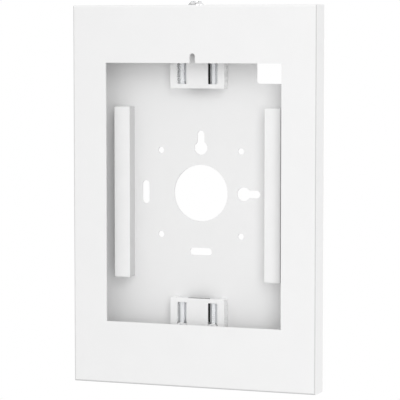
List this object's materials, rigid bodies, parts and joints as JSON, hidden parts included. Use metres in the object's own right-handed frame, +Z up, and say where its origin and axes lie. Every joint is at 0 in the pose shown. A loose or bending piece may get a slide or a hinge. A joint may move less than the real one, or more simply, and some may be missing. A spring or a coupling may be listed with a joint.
{
  "type": "tablet_wall_mount",
  "caption": "White lockable steel wall mount for an upright tablet, with a windowed hinged cover, foam bars, sliding toothed end brackets, cable hole and keyholes.",
  "frame": {"origin": "centre of the cable hole on the wall face", "axes": "+X right seen from the front, +Y into the wall, +Z up"},
  "size_m": [0.226, 0.0235, 0.3422],
  "materials": {
    "white_steel": "satin white powder coat",
    "white_foam": "smooth closed-cell foam",
    "white_plastic": "moulded, fine texture",
    "grey_plastic": "moulded, smooth, pale blue grey",
    "black_plastic": "matte black",
    "grey_rubber": "soft, matte",
    "zinc_steel": "bright zinc plate",
    "plated_zinc": "bright plated"
  },
  "bodies": {
    "tray": {"back_tray": "white_steel", "left_foam_bar": "white_foam", "right_foam_bar": "white_foam", "top_guide_rails": "grey_plastic", "bottom_guide_rails": "grey_plastic", "top_standoffs": "zinc_steel", "bottom_standoffs": "zinc_steel", "top_clamp_blocks": "white_plastic", "bottom_clamp_blocks": "white_plastic", "top_clamp_screws": "zinc_steel", "bottom_clamp_screws": "zinc_steel"},
    "cover": {"front_cover": "white_steel", "lock_barrel": "plated_zinc", "lock_nut": "zinc_steel"},
    "lock_core": {"lock_plug": "plated_zinc", "lock_cam": "zinc_steel", "cam_screw": "zinc_steel"},
    "top_slider": {"top_bracket": "white_plastic", "top_claw_pad": "grey_rubber", "top_glide_block": "black_plastic"},
    "bottom_slider": {"bottom_bracket": "white_plastic", "bottom_claw_pad": "grey_rubber", "bottom_glide_block": "black_plastic"}
  },
  "joints": [
    {"name": "cover_hinge", "type": "hinge", "parent": "tray", "child": "cover", "pos_m": [0, -0.003, -0.16975], "axis": [1, 0, 0], "range_deg": [0, 85]},
    {"name": "lock_turn", "type": "hinge", "parent": "cover", "child": "lock_core", "pos_m": [0, -0.0132, 0.1502], "axis": [0, 0, 1], "range_deg": [0, 90]},
    {"name": "top_bracket_slide", "type": "slide", "parent": "tray", "child": "top_slider", "axis": [0, 0, 1], "range_m": [-0.003, 0.008]},
    {"name": "bottom_bracket_slide", "type": "slide", "parent": "tray", "child": "bottom_slider", "axis": [0, 0, -1], "range_m": [-0.003, 0.008]}
  ]
}
